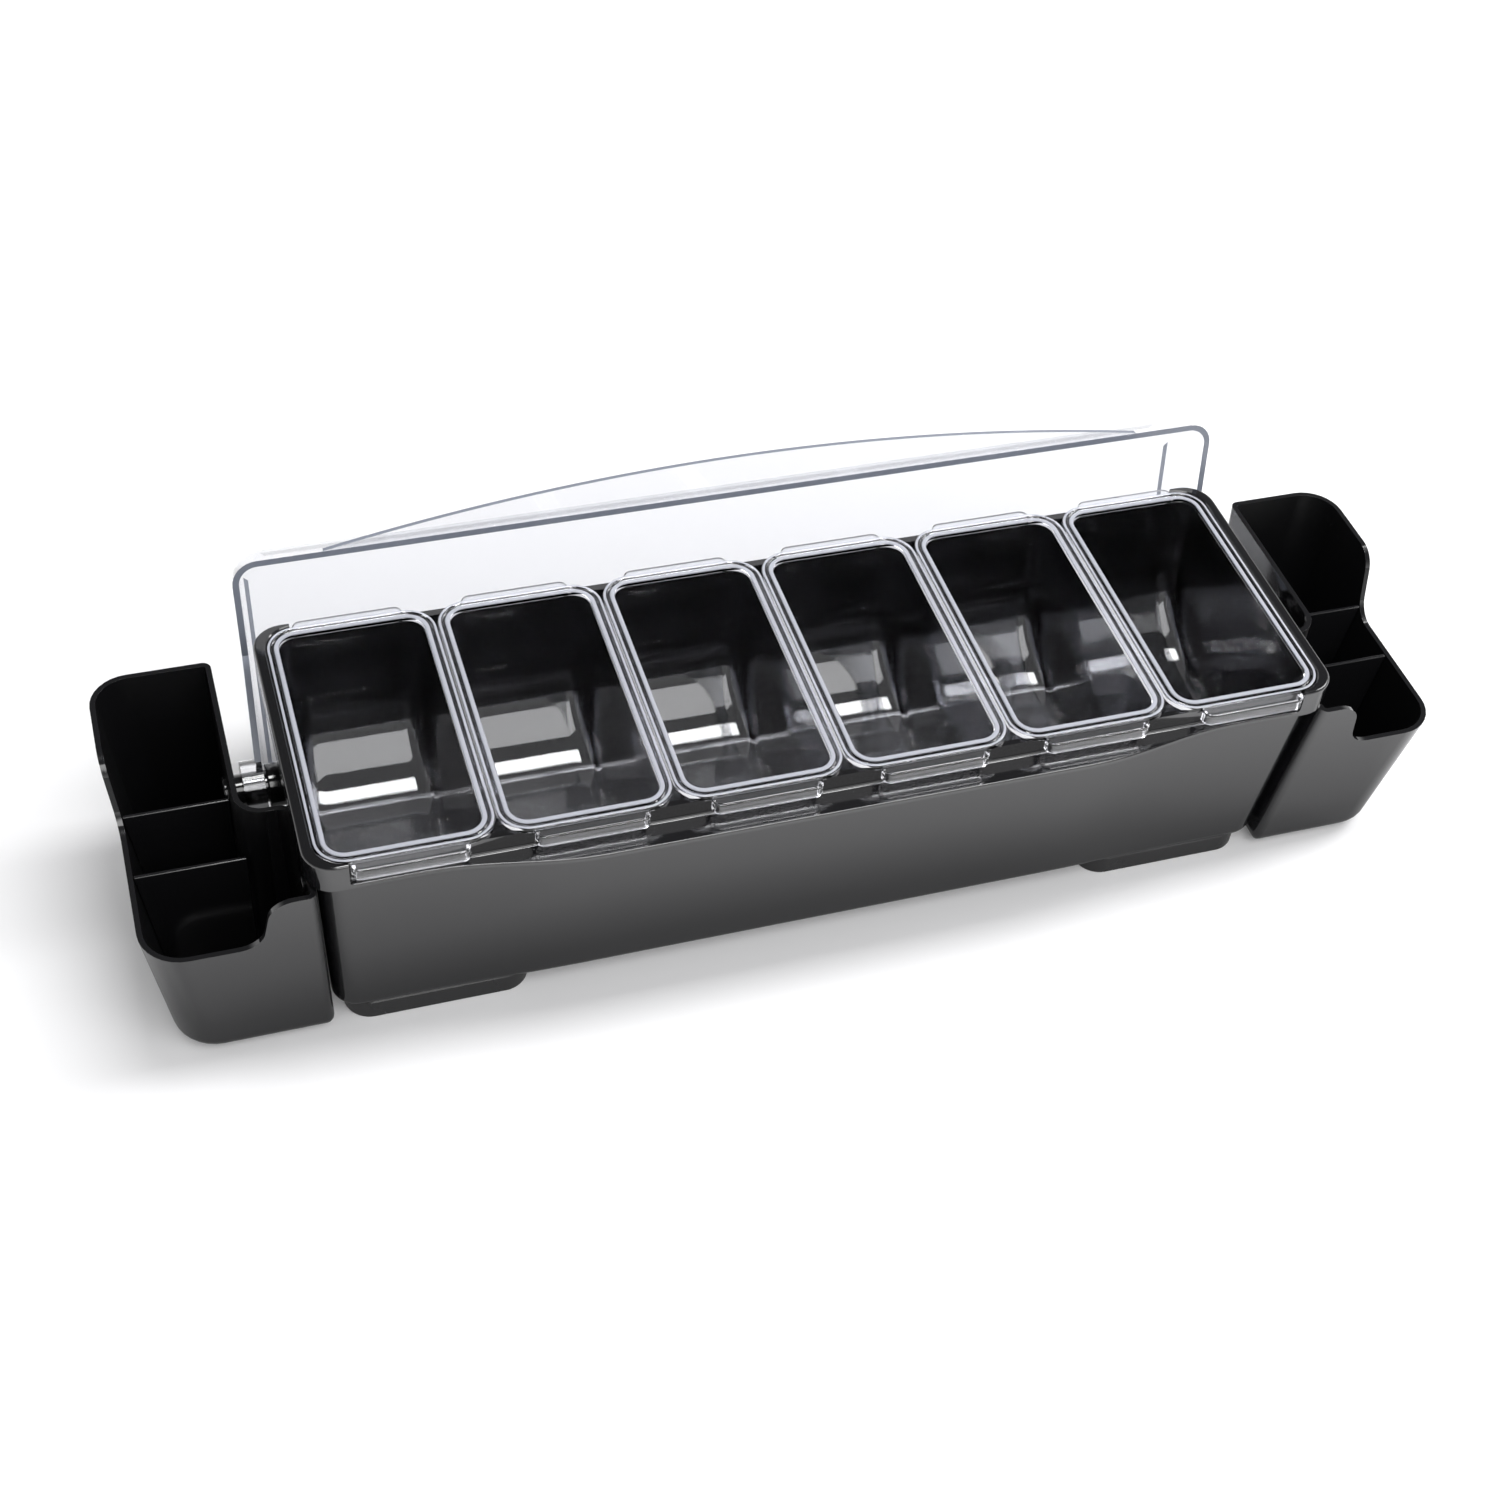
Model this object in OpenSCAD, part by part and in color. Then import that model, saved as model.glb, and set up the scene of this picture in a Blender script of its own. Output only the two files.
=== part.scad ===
// Bar condiment caddy: a footed black tub holds six lift-out clear trays under one
// clear flip hood, and a divided black side caddy hangs on each end.
// Millimetres. X runs along the tub, +Y is the rear, Z = 0 is the counter.
// The rest pose is the photographed one: hood flipped open behind the tub.

/* [Tub] */
// Height of the tray rims above the counter
rim_height = 127; // [110:1:140]
// Outside length of the tub's skirt
skirt_length = 484.4; // [480:0.2:500]
// Outside depth of the skirt at the corner posts
skirt_depth = 153; // [150:0.5:160]
// Height of the skirt at the corner posts
skirt_height = 15.5; // [12:0.5:18]
// How far the middle of the front lip bulges forward
lip_bulge = 9; // [0:0.5:12]
// Half length of the straight middle of the bulge
bulge_flat = 115; // [90:5:140]
// Half length at which the bulge has faded out
bulge_end = 190; // [170:5:200]
// Length of the tub's wall just under the skirt
wall_length = 474; // [470:0.5:478]
// Depth of the tub's wall just under the skirt
wall_depth = 145.4; // [142:0.1:148]
// Draft of the end walls, degrees
end_draft = 2; // [0.5:0.5:5]
// Draft of the front and rear walls, degrees
side_draft = 6.2; // [2:0.1:9]
// Wall thickness of the black mouldings
wall = 2.5; // [2:0.5:4]
// Plan radius of the tub's corners
tub_corner = 12; // [8:1:20]
// Radius of the tub's bottom edge
bottom_round = 6; // [3:1:10]
// Half length between the corner posts
post_start = 224; // [215:1:230]
// Drop of the front ledge below the tray rims
front_drop = 12; // [6:0.5:14]
// Drop of the rear ledge below the tray rims
rear_drop = 6; // [4:0.5:10]
// Height of the plinth feet
foot_height = 10.5; // [6:0.5:16]
// Outer end of each foot from the middle
foot_outer = 228.2; // [215:0.1:232]
// Inner end of each foot from the middle
foot_inner = 141.3; // [120:0.1:160]
// Depth of the feet
foot_depth = 120; // [100:1:125]
// Plan radius of the feet
foot_corner = 12.6; // [4:0.1:16]

/* [Trays] */
// Number of trays
tray_count = 6; // [6:1:6]
// Distance from one tray to the next
tray_pitch = 79; // [78:0.5:80]
// Outside width of a tray's rim
tray_rim_width = 78.4; // [76:0.1:78.6]
// Outside depth of a tray's rim
tray_rim_depth = 147.2; // [140:0.1:147.4]
// Width of a tray's opening
tray_width = 67; // [60:0.5:68]
// Depth of a tray's opening, front to rear
tray_depth = 135.2; // [130:0.2:136]
// Height from a tray's inside floor to its rim
tray_inside = 104; // [80:1:105]
// Wall thickness of a tray
tray_wall = 1.8; // [1.2:0.1:2.4]
// Draft of a tray's side walls, degrees
tray_side_draft = 4; // [2:0.5:6]
// Plan radius of a tray's opening
tray_corner = 9; // [6:0.5:12]
// Radius round a tray's floor
tray_floor_round = 8; // [4:1:12]
// Width of the grip tabs
tab_width = 51; // [40:1:60]
// Reach of the front tab past the rim
tab_reach = 5.9; // [4:0.1:8]

/* [Hood] */
// Inside-out height of the closed hood
hood_height = 32.6; // [28:0.2:40]
// Sheet thickness of the hood
sheet = 3; // [2:0.5:4]
// Half width of the hood at its mouth
hood_half = 246.5; // [246.5:0.5:248]
// Front edge of the closed hood, forward of the tub's middle
hood_front = 65.4; // [60:0.2:70]
// Backward lean of the hood's front wall, mm per mm
front_lean = 0.402; // [0.2:0.001:0.5]
// Rear edge of the closed hood, behind the tub's middle
hood_rear = 70; // [60:1:76]
// Reach of the bow-shaped grip at its middle
bow_reach = 18.3; // [12:0.1:24]
// Half length of the bow-shaped grip
bow_half = 204; // [180:1:220]
// How far the hood swings to close, degrees
hood_swing = 100; // [95:1:100]

/* [Hinge] */
// Hinge axis behind the tub's middle
pivot_back = 23.3; // [15:0.1:30]
// Hinge axis below the tray rims
pivot_drop = 49.2; // [45:0.1:55]
// Hinge pin radius
pin_radius = 7.5; // [6:0.1:8]
// Radius of the round boss on each end wall
boss_radius = 10.2; // [9:0.1:12]
// Radius of the hood's hubs
hub_radius = 13; // [11:0.5:14]
// Radial running clearance of the hubs on their pins
running = 0.05; // [0.01:0.01:0.1]

/* [Side caddies] */
// Drop of a caddy's high rim below the tray rims
caddy_drop = 16.5; // [16:0.5:20]
// Drop of the caddy's low outer rim below the tray rims
caddy_low_drop = 47; // [40:0.5:52]
// Underside of the caddies above the counter
caddy_lift = 1.5; // [1:0.5:6]
// Outer face of a caddy at its high rim, from the middle
caddy_outer = 317.5; // [300:0.5:325]
// Front and rear faces of a caddy at its high rim, from the middle
caddy_half_depth = 76; // [70:0.5:80]
// Face of the hinge recess, from the middle
recess_face = 261.5; // [259:0.5:264]
// Front end of the hinge recess
recess_front = -20; // [-24:0.5:-18]
// Wall thickness of the caddies
caddy_wall = 2.5; // [2:0.1:3]
// Draft of the caddies' outer faces, degrees
caddy_draft = 7; // [3:0.5:9]
// Thickness of the divider plates
divider = 2; // [1.5:0.1:3]

/* [Hidden] */

steps = 5;                               // facets round a quarter turn
seat_z = rim_height - 3;                 // what the tray rims rest on
skirt_z = rim_height - skirt_height;     // underside of the skirt
floor_z = foot_height + wall;            // tub's inside floor
low_bulge = 1.2;                         // bulge left at the tub's bottom edge
ridge = 2.1;                             // thin ridge between the seat and the ledges
mouth_step = 0.6;                        // how far the mouth's edge overhangs the inside
tray_gap = 0.4;                          // tray rim to the rim round it
cheek_slope = 0.075;                     // inward slope of the hood's cheeks, mm per mm
hood_z = rim_height + 1;                 // mouth plane of the closed hood
hood_top = hood_z + hood_height;
pivot_z = rim_height - pivot_drop;
hub_inner = hood_half + cheek_slope * (hood_z - pivot_z) - sheet;
hub_outer = 257;
boss_end = hub_inner - cheek_slope * boss_radius - 0.4;
fold_round = 7;                          // outside radius of the hood's folds
peg_y = -45;                             // front hanger peg of each caddy
peg_z = rim_height - 42;
peg_radius = 3.5;
caddy_top = rim_height - caddy_drop;
caddy_low = rim_height - caddy_low_drop;
caddy_inner = wall_length / 2 + 0.8;     // caddy face beside the tub, at its high rim

// The tub's middle sits so that the whole part, hood open, is centred on Y = 0.
lean_angle = hood_swing - 90;
fold_y = -hood_front + front_lean * hood_height + fold_round - pivot_back;
fold_z = hood_top - fold_round - pivot_z;
rear_reach = pivot_back + fold_z * cos(lean_angle) - fold_y * sin(lean_angle) + fold_round;
front_reach = skirt_depth / 2 + lip_bulge;
mid_y = (front_reach - rear_reach) / 2;

// Points on an arc about c, from angle a0 to a1.
function arc(c, r, a0, a1, n = steps) =
    [for (i = [0:n]) let (a = a0 + (a1 - a0) * i / n) c + r * [cos(a), sin(a)]];

// Rounded rectangle in plan, anticlockwise from its rear right corner, which sees the whole
// outline; front holds extra points along the front side.
function rect_ring(hx, hy, r, front = []) = concat(
    arc([hx - r, hy - r], r, 0, 90), arc([-hx + r, hy - r], r, 90, 180),
    arc([-hx + r, -hy + r], r, 180, 270), [for (p = front) [p[0], -hy - p[1]]],
    arc([hx - r, -hy + r], r, 270, 360));

// Fade of the front lip's bulge along the tub, 1 in the middle and 0 at the ends.
function bulge_at(x) =
    let (t = (bulge_end - abs(x)) / (bulge_end - bulge_flat), s = max(0, min(1, t)))
    s * s * (3 - 2 * s);
bulge_x = concat([for (i = [1:5]) -bulge_end + i * (bulge_end - bulge_flat) / 5],
    [for (i = [0:4]) bulge_flat + i * (bulge_end - bulge_flat) / 5]);
function bulge_points(amount) = [for (x = bulge_x) [x, amount * bulge_at(x)]];
function tub_ring(hx, hy, r, amount) = rect_ring(hx, hy, r, bulge_points(amount));

// Tub wall at height z, moved inwards by inset; its front is nearly straight at the bottom
// edge and bulges with the lip at the top.
function wall_ring(z, inset, r) = let (fall = skirt_z - z) tub_ring(
    wall_length / 2 - fall * tan(end_draft) - inset,
    wall_depth / 2 - fall * tan(side_draft) - inset, r,
    z > foot_height + bottom_round + 1 ? lip_bulge : low_bulge);

function at_height(ring, z) = [for (p = ring) [p[0], p[1], z]];

// Closed solid through a stack of rings that have the same number of points. The bands above
// the rings that twisted lists are split into triangles, because their sides aren't flat.
module loft(rings, twisted = []) {
    n = len(rings[0]);
    m = len(rings);
    sides = [for (j = [0:m - 2]) for (i = [0:n - 1])
        let (k = (i + 1) % n, a = j * n, b = a + n)
        each len([for (t = twisted) if (t == j) t]) > 0
            ? [[a + i, b + i, b + k], [a + i, b + k, a + k]]
            : [[a + i, b + i, b + k, a + k]]];
    bottom = [for (i = [0:n - 1]) i];
    top = [for (i = [n - 1:-1:0]) (m - 1) * n + i];
    polyhedron([for (r = rings) each r], concat([bottom, top], sides), convexity = 8);
}

// A shaft or hole along X between two distances from the middle, at (y, z).
module along_x(x0, x1, r, y, z) {
    translate([x0, y, z]) rotate([0, 90, 0]) cylinder(h = x1 - x0, r = r, $fn = 64);
}

// ---- Tub ----

// The tub's shell as one skin: up the outside, over the rim, down into the shallow pocket that
// the tray rims sit in, through the mouth and down the inside to the floor.
module tub_shell() {
    under_ledge = rim_height - front_drop - wall;
    inner_round = bottom_round - wall;
    mouth = [wall_length / 2, wall_depth / 2] - (wall + mouth_step) * [1, 1];
    pocket = [tray_count / 2 * tray_pitch - (tray_pitch - tray_rim_width) / 2 + tray_gap,
        tray_rim_depth / 2 + tray_gap];
    outside = [for (a = [0:30:90]) let (z = foot_height + bottom_round * (1 - cos(a)))
        at_height(wall_ring(z, bottom_round * (1 - sin(a)), tub_corner), z)];
    skirt = [for (e = [[skirt_z, 0], [rim_height - 1.2, 0], [rim_height, 1.2]])
        at_height(tub_ring(skirt_length / 2 - e[1], skirt_depth / 2 - e[1], tub_corner + 2,
            lip_bulge), e[0])];
    pocket_walls = [for (z = [rim_height, seat_z])
        at_height(tub_ring(pocket[0], pocket[1], 14.2, 0), z)];
    mouth_walls = [for (z = [seat_z, under_ledge])
        at_height(tub_ring(mouth[0], mouth[1], tub_corner - wall - mouth_step, 0), z)];
    upper_inside = [for (z = [under_ledge, skirt_z])
        at_height(wall_ring(skirt_z, wall, tub_corner - wall), z)];
    inside = [for (a = [90:-30:0]) let (z = floor_z + inner_round * (1 - cos(a)))
        at_height(wall_ring(z, wall + inner_round * (1 - sin(a)), tub_corner - wall), z)];
    loft(concat(outside, [at_height(wall_ring(skirt_z, 0, tub_corner), skirt_z)], skirt,
        pocket_walls, mouth_walls, upper_inside, inside), [3, 13]);
}

// Ledges in front of and behind the trays, between the corner posts.
module tub_ledges() {
    ridge_face = wall_depth / 2 - wall + ridge;
    translate([-post_start, -front_reach - 5, rim_height - front_drop])
        cube([2 * post_start, front_reach + 5 - ridge_face, 20]);
    translate([-post_start, ridge_face, rim_height - rear_drop])
        cube([2 * post_start, 20, 20]);
}

module base_tub() {
    color([0.03, 0.03, 0.03]) translate([0, mid_y, 0]) difference() {
        union() {
            tub_shell();
            for (s = [-1, 1])
                along_x(min(s * boss_end, s * 234), max(s * boss_end, s * 234), boss_radius,
                    pivot_back, pivot_z);
        }
        tub_ledges();
        for (s = [-1, 1]) {
            along_x(min(s * 239, s * 300), max(s * 239, s * 300), pin_radius, pivot_back, pivot_z);
            along_x(min(s * 234.6, s * 300), max(s * 234.6, s * 300), peg_radius, peg_y, peg_z);
        }
    }
}

module foot(side) {
    middle = (foot_outer + foot_inner) / 2;
    half = (foot_outer - foot_inner) / 2;
    color([0.03, 0.03, 0.03]) translate([side * middle, mid_y, 0])
        linear_extrude(height = foot_height)
            rounded_plan(half, foot_depth / 2, foot_corner);
}

// Rounded rectangle with true arcs.
module rounded_plan(hx, hy, r) {
    square([2 * hx - 2 * r, 2 * hy], center = true);
    square([2 * hx, 2 * hy - 2 * r], center = true);
    for (sx = [-1, 1], sy = [-1, 1])
        translate([sx * (hx - r), sy * (hy - r)]) circle(r = r, $fn = 32);
}

module foot_left() { foot(-1); }
module foot_right() { foot(1); }

// ---- Hinge pins and hanger pegs ----

module hinge_pin(side) {
    color([0.03, 0.03, 0.03]) translate([0, mid_y, 0])
        along_x(min(side * 239, side * 266), max(side * 239, side * 266), pin_radius,
            pivot_back, pivot_z);
}

module hanger_peg(side) {
    color([0.03, 0.03, 0.03]) translate([0, mid_y, 0])
        along_x(min(side * 234.6, side * 241.5), max(side * 234.6, side * 241.5), peg_radius,
            peg_y, peg_z);
}

module hinge_pin_left() { hinge_pin(-1); }
module hinge_pin_right() { hinge_pin(1); }
module hanger_peg_left() { hanger_peg(-1); }
module hanger_peg_right() { hanger_peg(1); }

// ---- Hood, drawn closed and turned about its pins to the open rest pose ----

// Plan ring of the hood's box at height z; t moves it in by the sheet thickness.
function hood_ring(z, t, inset, rear) =
    let (hx = hood_half + cheek_slope * (hood_z - z) - t - inset,
        front = -hood_front + front_lean * (z - hood_z) + t + inset, r = 12 - t)
    concat([[hx, rear]], [for (p = arc([-hx + r, front + r], r, 180, 270)) p],
        [for (p = arc([hx - r, front + r], r, 270, 360)) p]);
function hood_order(ring) = concat([[-ring[0][0], ring[0][1]]],
    [for (i = [1:len(ring) - 1]) ring[i]], [ring[0]]);

module hood_box(t, bottom, rear) {
    r = fold_round - t;
    loft([for (e = concat([[bottom, 0]],
            [for (a = [0:30:90]) [hood_top - t - r + r * sin(a), r * (1 - cos(a))]]))
        at_height(hood_order(hood_ring(e[0], t, e[1], rear)), e[0])]);
}

// Side view of the hood: the box above the mouth plane, and an arm down to each hub.
module hood_side() {
    translate([-hood_front - 10, hood_z]) square([hood_front + 10 + hood_rear, 50]);
    polygon([[-16, hood_z + 1], [pivot_back - 12.2, pivot_z], [pivot_back + 12.2, pivot_z],
        [54, hood_z + 1]]);
    translate([pivot_back, pivot_z]) circle(r = hub_radius, $fn = 64);
}

module hood_shell() {
    intersection() {
        difference() {
            hood_box(0, pivot_z - 20, hood_rear + 2);
            hood_box(sheet, pivot_z - 22, hood_rear + 4);
        }
        translate([-300, 0, 0]) rotate([90, 0, 90]) linear_extrude(height = 600) hood_side();
    }
}

// Bow-shaped grip along the front edge of the closed hood.
module hood_bow() {
    bow_radius = (bow_half * bow_half + bow_reach * bow_reach) / (2 * bow_reach);
    translate([0, 0, hood_z]) linear_extrude(height = 2.5) intersection() {
        translate([0, -hood_front - bow_reach + bow_radius]) circle(r = bow_radius, $fn = 360);
        translate([-bow_half - 20, -hood_front - 30]) square([2 * bow_half + 40, 31.5]);
    }
}

module hood() {
    color([0.8, 0.84, 0.88, 0.4]) translate([0, mid_y + pivot_back, pivot_z])
        rotate([-hood_swing, 0, 0]) translate([0, -pivot_back, -pivot_z]) difference() {
            union() {
                hood_shell();
                hood_bow();
                for (s = [-1, 1])
                    along_x(min(s * hub_inner, s * hub_outer), max(s * hub_inner, s * hub_outer),
                        hub_radius, pivot_back, pivot_z);
            }
            along_x(-300, 300, pin_radius + running, pivot_back, pivot_z);
        }
}

// ---- Trays ----

function tray_fall(z) = seat_z - z;
function tray_ring(z, inset) =
    let (fall = tray_fall(z))
    rect_ring(tray_width / 2 + tray_wall - fall * tan(tray_side_draft) - inset,
        tray_depth / 2 + tray_wall - fall * tan(side_draft) - inset,
        max(tray_corner + tray_wall - inset, 2));

module tray_shell() {
    base = rim_height - tray_inside - tray_wall;
    rw = tray_rim_width / 2;
    rd = tray_rim_depth / 2;
    // rim section, from its outer underside over the bead, groove and inner lip: inset, drop
    rim = [[0, 3], [0, 0.8], [0.6, 0.3], [1.7, 0.3], [2.3, 1.2], [3.1, 1.2], [3.6, 0], [5.3, 0]];
    outside = [for (a = [0:30:90]) let (z = base + tray_floor_round * (1 - cos(a)))
        at_height(tray_ring(z, tray_floor_round * (1 - sin(a))), z)];
    inner_round = tray_floor_round - tray_wall;
    inside = [for (a = [90:-30:0]) let (z = base + tray_wall + inner_round * (1 - cos(a)))
        at_height(tray_ring(z, tray_wall + inner_round * (1 - sin(a))), z)];
    loft(concat(outside, [at_height(tray_ring(seat_z, 0), seat_z)],
        [for (e = rim) at_height(rect_ring(rw - e[0], rd - e[0], 14 - e[0]), rim_height - e[1])],
        inside));
}

// Plan of a grip tab that reaches out past the tray's front edge.
module tab_plan(reach) {
    edge = tray_rim_depth / 2 + reach;
    translate([-tab_width / 2, -edge + 4]) square([tab_width, reach]);
    translate([-tab_width / 2 + 4, -edge]) square([tab_width - 8, reach + 2]);
    for (s = [-1, 1]) translate([s * (tab_width / 2 - 4), -edge + 4]) circle(r = 4, $fn = 32);
}

module tray_tabs() {
    translate([0, 0, seat_z + 0.4]) linear_extrude(height = 2) tab_plan(tab_reach);
    translate([0, 0, seat_z - 4]) linear_extrude(height = 5) difference() {
        tab_plan(tab_reach);
        translate([0, 2]) tab_plan(tab_reach);
        translate([-40, -tray_rim_depth / 2 - 0.5]) square([80, 10]);
    }
    rotate([0, 0, 180]) translate([0, 0, seat_z + 0.4]) linear_extrude(height = 2) tab_plan(3.6);
}

module tray(index) {
    x = (index - (tray_count + 1) / 2) * tray_pitch;
    color([0.85, 0.87, 0.92, 0.5]) translate([x, mid_y, 0]) {
        tray_shell();
        tray_tabs();
    }
}

module tray_1() { tray(1); }
module tray_2() { tray(2); }
module tray_3() { tray(3); }
module tray_4() { tray(4); }
module tray_5() { tray(5); }
module tray_6() { tray(6); }

// ---- Side caddies, drawn on the right and mirrored for the left ----

// Plan corners at depth d below the high rim, moved in by t: [x, y, rounding, turn], where
// turn is 1 for a corner that points outwards and -1 for the one at the hinge recess.
function caddy_corners(d, t) =
    let (o = d * tan(caddy_draft), n = d * tan(end_draft)) [
        [caddy_outer - o - t, -caddy_half_depth + o + t, 20 - t, 1, 270],
        [caddy_outer - o - t, caddy_half_depth - o - t, 18 - t, 1, 0],
        [recess_face + t, caddy_half_depth - o - t, 4 - min(t, 3), 1, 90],
        [recess_face + t, recess_front - t, 10 + t, -1, 0],
        [caddy_inner - n + t, recess_front - t, 9 - t, 1, 90],
        [caddy_inner - n + t, -caddy_half_depth + o + t, 4 - min(t, 3), 1, 180]];

function caddy_ring(d, t) = [for (c = caddy_corners(d, t))
    each c[3] > 0
        ? arc([c[0] + (c[4] == 180 || c[4] == 90 ? c[2] : -c[2]),
            c[1] + (c[4] == 180 || c[4] == 270 ? c[2] : -c[2])], c[2], c[4], c[4] + 90)
        : arc([c[0] - c[2], c[1] + c[2]], c[2], 360, 270)];

module caddy_body(t, bottom, top, r) {
    loft(concat(
        [for (a = [0:30:90]) let (z = bottom + r * (1 - cos(a)))
            at_height(caddy_ring(caddy_top - z, t + r * (1 - sin(a))), z)],
        [at_height(caddy_ring(caddy_top - top, t), top)]));
}

// A drop from the high rim to the low one: two arcs joined by a steep straight.
function rim_drop(start, r, angle) =
    let (straight = (caddy_top - caddy_low - 2 * r * (1 - cos(angle))) / tan(angle),
        mid = start - r * sin(angle) - straight)
    concat(arc([start, caddy_top - r], r, 90, 90 + angle),
        arc([mid - r * sin(angle), caddy_low + r], r, angle - 90, -90));

// What is cut off above the low rim: from the outer wall, and from the front wall.
module caddy_cutaway() {
    outer_drop = rim_drop(32.7, 14, 68);
    outer_line = [for (i = [len(outer_drop) - 1:-1:0]) outer_drop[i]];
    translate([290, 0, 0]) rotate([90, 0, 90]) linear_extrude(height = 40) polygon(concat(
        [[-90, caddy_top + 9], [-90, caddy_low]], outer_line, [[33, caddy_top + 9]]));
    front_line = [for (p = rim_drop(-247.5, 12, 80)) [-p[0], p[1]]];
    translate([0, -62, 0]) rotate([90, 0, 0]) linear_extrude(height = 30) polygon(concat(
        [[247, caddy_top + 9]], front_line, [[330, caddy_low], [330, caddy_top + 9]]));
}

module caddy_shape() {
    difference() {
        intersection() { // the body, trimmed level at its high rim
            caddy_body(0, caddy_lift, caddy_top + 2, 8);
            translate([0, -caddy_half_depth - 5, 0])
                cube([caddy_outer + 5, 2 * caddy_half_depth + 10, caddy_top]);
        }
        caddy_body(caddy_wall, caddy_lift + caddy_wall, caddy_top + 1, 5.5);
        caddy_cutaway();
        along_x(258, 275, pin_radius + running, pivot_back, pivot_z);
        along_x(230, 245, peg_radius + running, peg_y, peg_z);
    }
}

module on_side(side) {
    translate([0, mid_y, 0]) mirror([side < 0 ? 1 : 0, 0, 0]) children();
}

module caddy_left() { color([0.03, 0.03, 0.03]) on_side(-1) caddy_shape(); }
module caddy_right() { color([0.03, 0.03, 0.03]) on_side(1) caddy_shape(); }

// Divider plate across a caddy at y, from x0 to the drafted outer wall, up to height top. Its
// lower corners are cut off to clear the rounding inside the caddy's floor.
module divider_plate(y, x0, top) {
    low = caddy_lift + caddy_wall;
    cut = 6;
    outer_at = caddy_outer - caddy_wall - 0.3;
    slope = tan(caddy_draft);
    translate([0, y + divider / 2, 0]) rotate([90, 0, 0]) linear_extrude(height = divider)
        polygon([[x0, low + cut], [x0 + cut, low],
            [outer_at - cut - slope * (caddy_top - low), low],
            [outer_at - slope * (caddy_top - low - cut), low + cut],
            [outer_at - slope * (caddy_top - top), top], [x0, top]]);
}

module divider_rear(side) {
    color([0.05, 0.05, 0.05]) on_side(side)
        divider_plate(12.5, recess_face + caddy_wall + 0.3, rim_height - 42);
}

module divider_front(side) {
    color([0.05, 0.05, 0.05]) on_side(side)
        divider_plate(recess_front + 0.4, 261.8, rim_height - 47);
}

module divider_left_rear() { divider_rear(-1); }
module divider_left_front() { divider_front(-1); }
module divider_right_rear() { divider_rear(1); }
module divider_right_front() { divider_front(1); }

base_tub();
foot_left();
foot_right();
hinge_pin_left();
hinge_pin_right();
hanger_peg_left();
hanger_peg_right();
hood();
tray_1();
tray_2();
tray_3();
tray_4();
tray_5();
tray_6();
caddy_left();
caddy_right();
divider_left_rear();
divider_left_front();
divider_right_rear();
divider_right_front();
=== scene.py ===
import bpy
import bmesh
import math
from mathutils import Matrix, Vector


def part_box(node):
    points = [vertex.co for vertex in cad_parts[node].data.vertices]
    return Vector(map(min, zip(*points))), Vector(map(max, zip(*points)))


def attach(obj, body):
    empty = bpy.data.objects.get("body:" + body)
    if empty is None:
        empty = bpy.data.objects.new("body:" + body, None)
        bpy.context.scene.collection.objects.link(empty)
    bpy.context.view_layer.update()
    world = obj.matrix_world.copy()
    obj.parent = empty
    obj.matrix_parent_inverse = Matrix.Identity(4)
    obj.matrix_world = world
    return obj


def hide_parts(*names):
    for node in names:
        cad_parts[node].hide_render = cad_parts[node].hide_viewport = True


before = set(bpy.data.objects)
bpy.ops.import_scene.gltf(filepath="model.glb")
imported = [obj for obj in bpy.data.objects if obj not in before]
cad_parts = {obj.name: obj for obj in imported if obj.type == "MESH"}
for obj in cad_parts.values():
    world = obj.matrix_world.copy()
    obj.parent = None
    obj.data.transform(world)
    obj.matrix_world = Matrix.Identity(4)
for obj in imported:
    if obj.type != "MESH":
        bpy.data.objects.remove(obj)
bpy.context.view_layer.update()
print("frame loaded:", len(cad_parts), "nodes")

# Pieces are drawn in millimetres about the tub's middle, with the counter at z = 0, and
# makePiece scales them to metres and moves them to the tub's place in the frame.
rearHalfDepth = 0.0765  # from the tub's middle to the back of its rim skirt
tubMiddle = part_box("base_tub")[1].y - rearHalfDepth
mm = 0.001


# ---------- camera ----------

cameraSet = {
    "place": (-0.29774, -0.72226, 0.85702),
    "turn": (43.832, -4.0265, -17.2392),  # degrees, XYZ
    "lens": 54.746,
    "sensor": 36.0,
}


def makeCamera(s):
    data = bpy.data.cameras.new("studioCamera")
    data.lens = s["lens"]
    data.sensor_width = s["sensor"]
    data.clip_end = 50
    camera = bpy.data.objects.new("studioCamera", data)
    camera.location = s["place"]
    camera.rotation_euler = [math.radians(a) for a in s["turn"]]
    bpy.context.scene.collection.objects.link(camera)
    bpy.context.scene.camera = camera


makeCamera(cameraSet)


# ---------- node groups and materials ----------

def link(tree, a, b):
    tree.links.new(a, b)


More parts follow.
